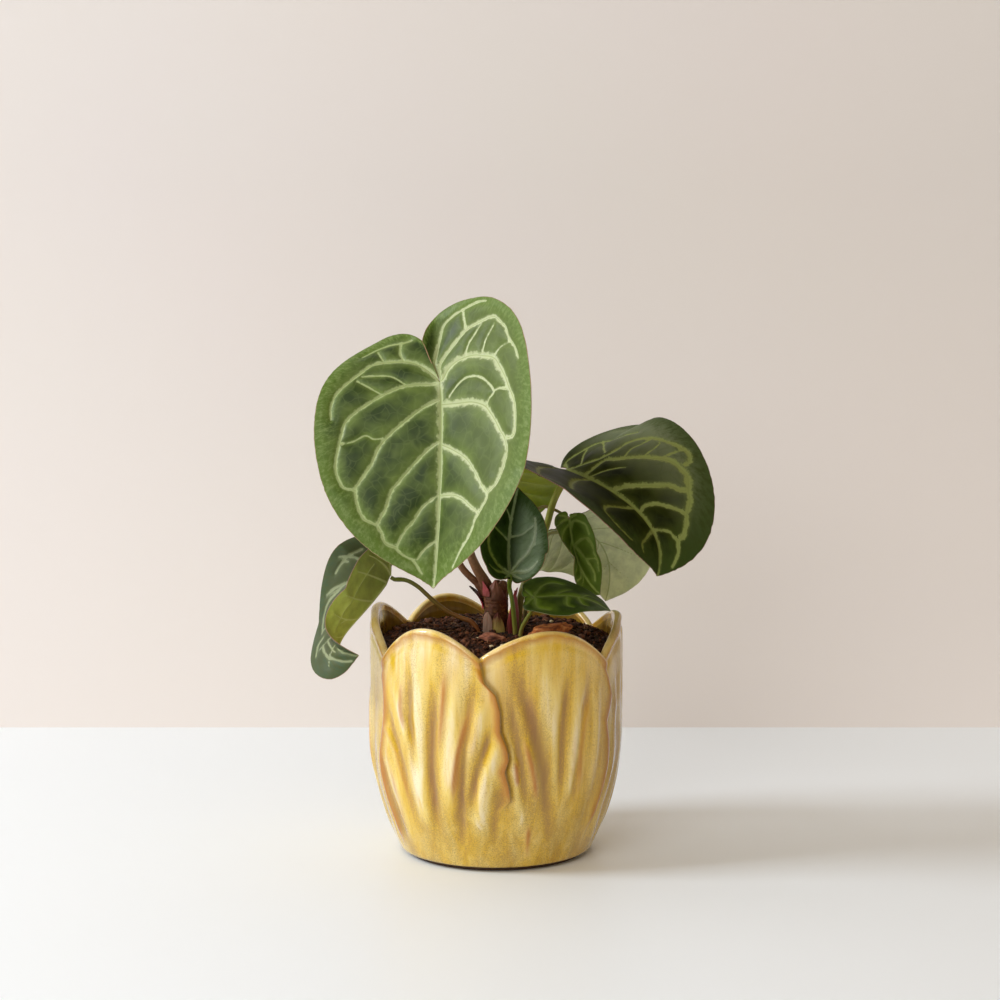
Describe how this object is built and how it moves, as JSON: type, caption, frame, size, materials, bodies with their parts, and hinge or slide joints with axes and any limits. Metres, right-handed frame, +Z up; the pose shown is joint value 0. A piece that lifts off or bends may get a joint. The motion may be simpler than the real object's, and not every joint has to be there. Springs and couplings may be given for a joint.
{
  "type": "potted plant",
  "caption": "Small silver-veined anthurium with heart-shaped leaves on thin stalks, in a yellow glazed pot whose wall is shaped as overlapping petals.",
  "frame": {"origin": "middle of the pot's flat base", "axes": "+Z up, the side in the picture faces -Y, and +X is to the viewer's right"},
  "size_m": [0.2356, 0.1793, 0.3353],
  "materials": {
    "glaze": "glossy yellow-ochre reactive glaze on ceramic",
    "soil": "damp dark brown peat and bark mix",
    "crown": "brown-red living stem",
    "blade": "velvety dark green leaf with pale silver-green veins",
    "stalk": "smooth olive to brown living stalk",
    "sheath": "thin red-brown papery scale",
    "pale": "thin pale yellow papery scale",
    "bark": "rough orange-brown dry bark"
  },
  "bodies": {
    "root": {"pot": "glaze", "soil": "soil", "crown": "crown", "leaf_front": "blade", "leaf_right": "blade", "leaf_left": "blade", "leaf_rear": "blade", "leaf_centre": "blade", "leaf_folded": "blade", "leaf_back": "blade", "leaf_low": "blade", "stalk_right": "stalk", "stalk_left": "stalk", "stalk_centre": "stalk", "stalk_folded": "stalk", "stalk_back": "stalk", "stalk_low": "stalk", "sheath_spike": "sheath", "sheath_red": "sheath", "sheath_pale": "pale", "bark_chip": "bark", "bark_curl": "bark"}
  },
  "joints": []
}
